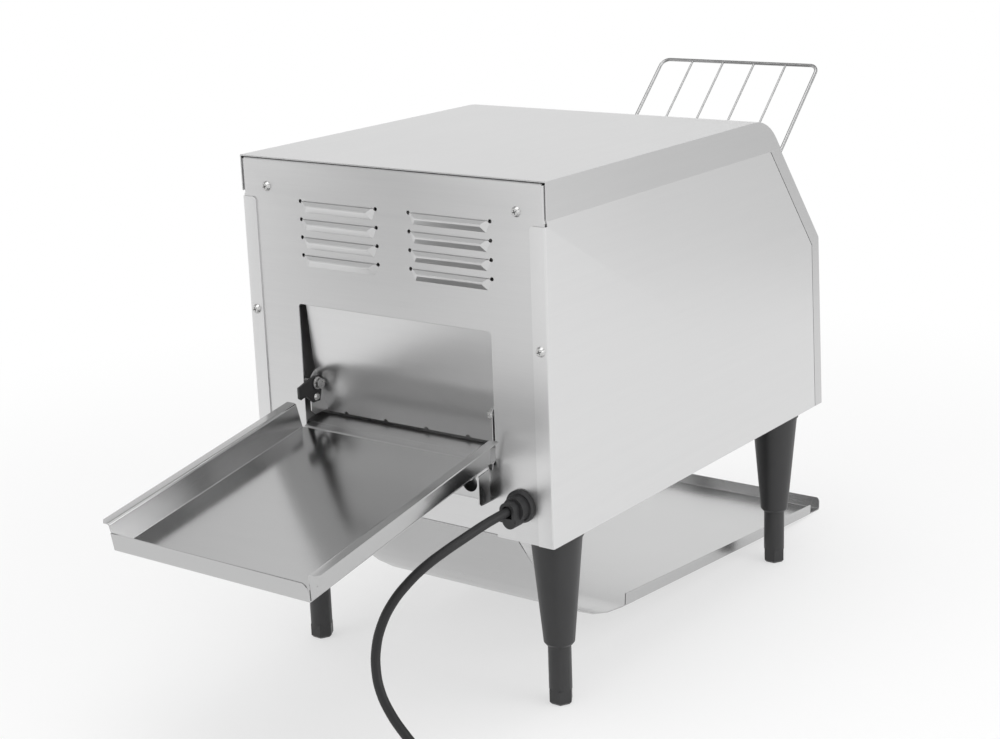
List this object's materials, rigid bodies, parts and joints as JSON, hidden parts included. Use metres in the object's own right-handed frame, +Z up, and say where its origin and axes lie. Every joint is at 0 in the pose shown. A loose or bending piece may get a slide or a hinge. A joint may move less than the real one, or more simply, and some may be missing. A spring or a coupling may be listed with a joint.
{
  "type": "conveyor toaster",
  "caption": "Counter-top conveyor toaster with a wire rack above the belt, a deflector flap, a curved catch tray, a clip-on rear tray, knobs and adjustable legs.",
  "frame": {"origin": "on the counter, in the body's middle plane, under the middle of the body (210 mm forward of the rear panel's face)", "axes": "+Z up, -Y towards the person who loads the rack, +Y towards the rear tray, +X towards the object's own left"},
  "size_m": [0.414, 0.7906, 0.4288],
  "materials": {
    "stainless": "satin stainless steel, fine grain along each sheet",
    "tray_steel": "satin stainless steel, fine grain",
    "inner_steel": "plain mill-finish steel sheet",
    "wire": "bright plated wire",
    "machined_steel": "turned and plated steel",
    "chain_steel": "dark oiled roller chain",
    "bronze": "sintered bronze",
    "motor_paint": "grey zinc and paint",
    "quartz": "clear quartz with the heating coil inside",
    "ceramic": "white unglazed ceramic",
    "reflector": "bright aluminised sheet",
    "black_plastic": "black moulded plastic, satin",
    "foot_plastic": "black moulded plastic, satin",
    "knob_plastic": "black phenolic",
    "control_plastic": "dark moulded housing",
    "lamp": "orange translucent lens",
    "cord_rubber": "black rubber sheath",
    "tie_plastic": "black strap"
  },
  "bodies": {
    "cabinet": {"base_pan": "inner_steel", "rear_panel": "stainless", "side_panel_left": "stainless", "side_panel_right": "stainless", "roof_panel": "stainless", "front_frame": "stainless", "inner_wall_left": "inner_steel", "inner_wall_right": "inner_steel", "outlet_sill": "inner_steel", "drop_guide": "inner_steel", "flap_pivot_bolts": "machined_steel", "conveyor_belt": "wire", "shaft_bushes": "bronze", "drive_motor": "motor_paint", "motor_bracket": "inner_steel", "drive_chain": "chain_steel", "upper_heater_tubes": "quartz", "lower_heater_tubes": "quartz", "heater_caps": "ceramic", "upper_reflector": "reflector", "lower_reflector": "reflector", "heat_switch": "control_plastic", "speed_control": "control_plastic", "power_lamp": "lamp", "terminal_block": "ceramic", "tray_studs": "machined_steel", "leg_front_left": "black_plastic", "leg_front_right": "black_plastic", "leg_rear_left": "black_plastic", "leg_rear_right": "black_plastic", "leg_bolts": "machined_steel", "panel_screws": "machined_steel", "cord_gland": "black_plastic", "power_cord": "cord_rubber", "cord_coil": "cord_rubber", "cord_tie": "tie_plastic", "power_plug": "cord_rubber"},
    "flap": {"deflector_flap": "tray_steel", "flap_lever": "black_plastic", "lever_rivet": "machined_steel"},
    "drive_shaft": {"drive_shaft": "machined_steel"},
    "idler_shaft": {"idler_shaft": "machined_steel"},
    "motor_sprocket": {"motor_sprocket": "machined_steel"},
    "heat_knob": {"heat_knob": "knob_plastic"},
    "speed_knob": {"speed_knob": "knob_plastic"},
    "crumb_tray": {"crumb_tray": "inner_steel"},
    "catch_tray": {"catch_tray": "tray_steel"},
    "rear_tray": {"rear_tray": "tray_steel"},
    "wire_rack": {"wire_rack": "wire"},
    "foot_front_left": {"foot_front_left": "foot_plastic"},
    "foot_front_right": {"foot_front_right": "foot_plastic"},
    "foot_rear_left": {"foot_rear_left": "foot_plastic"},
    "foot_rear_right": {"foot_rear_right": "foot_plastic"}
  },
  "joints": [
    {"name": "flap_swing", "type": "hinge", "parent": "cabinet", "child": "flap", "pos_m": [0, 0.202, 0.232], "axis": [1, 0, 0], "range_deg": [0, 35]},
    {"name": "drive_spin", "type": "hinge", "parent": "cabinet", "child": "drive_shaft", "pos_m": [0, 0.115, 0.262], "axis": [-1, 0, 0], "continuous": true},
    {"name": "idler_spin", "type": "hinge", "parent": "cabinet", "child": "idler_shaft", "pos_m": [0, -0.161, 0.262], "axis": [-1, 0, 0], "continuous": true},
    {"name": "motor_spin", "type": "hinge", "parent": "cabinet", "child": "motor_sprocket", "pos_m": [0, 0.06615, 0.20378], "axis": [-1, 0, 0], "continuous": true},
    {"name": "heat_turn", "type": "hinge", "parent": "cabinet", "child": "heat_knob", "pos_m": [0.065, -0.21172, 0.20586], "axis": [0, 0.9979, -0.0648], "range_deg": [0, 270]},
    {"name": "speed_turn", "type": "hinge", "parent": "cabinet", "child": "speed_knob", "pos_m": [-0.065, -0.21172, 0.20586], "axis": [0, 0.9979, -0.0648], "range_deg": [0, 300]},
    {"name": "crumb_tray_slide", "type": "slide", "parent": "cabinet", "child": "crumb_tray", "axis": [0, -1, 0], "range_m": [0, 0.25]},
    {"name": "catch_tray_slide", "type": "slide", "parent": "cabinet", "child": "catch_tray", "axis": [0, -1, 0], "range_m": [0, 0.06]},
    {"name": "rear_tray_lift", "type": "slide", "parent": "cabinet", "child": "rear_tray", "axis": [0, 0, 1], "range_m": [0, 0.0077]},
    {"name": "rack_swing", "type": "hinge", "parent": "cabinet", "child": "wire_rack", "pos_m": [0, -0.176, 0.2915], "axis": [-1, 0, 0], "range_deg": [0, 65]},
    {"name": "foot_front_left_screw", "type": "slide", "parent": "cabinet", "child": "foot_front_left", "axis": [0, 0, -1], "range_m": [0, 0.012]},
    {"name": "foot_front_right_screw", "type": "slide", "parent": "cabinet", "child": "foot_front_right", "axis": [0, 0, -1], "range_m": [0, 0.012]},
    {"name": "foot_rear_left_screw", "type": "slide", "parent": "cabinet", "child": "foot_rear_left", "axis": [0, 0, -1], "range_m": [0, 0.012]},
    {"name": "foot_rear_right_screw", "type": "slide", "parent": "cabinet", "child": "foot_rear_right", "axis": [0, 0, -1], "range_m": [0, 0.012]}
  ],
  "couplings": [
    {"joint": "idler_spin", "follows": "drive_spin", "ratio": 1},
    {"joint": "motor_spin", "follows": "drive_spin", "ratio": 1}
  ]
}
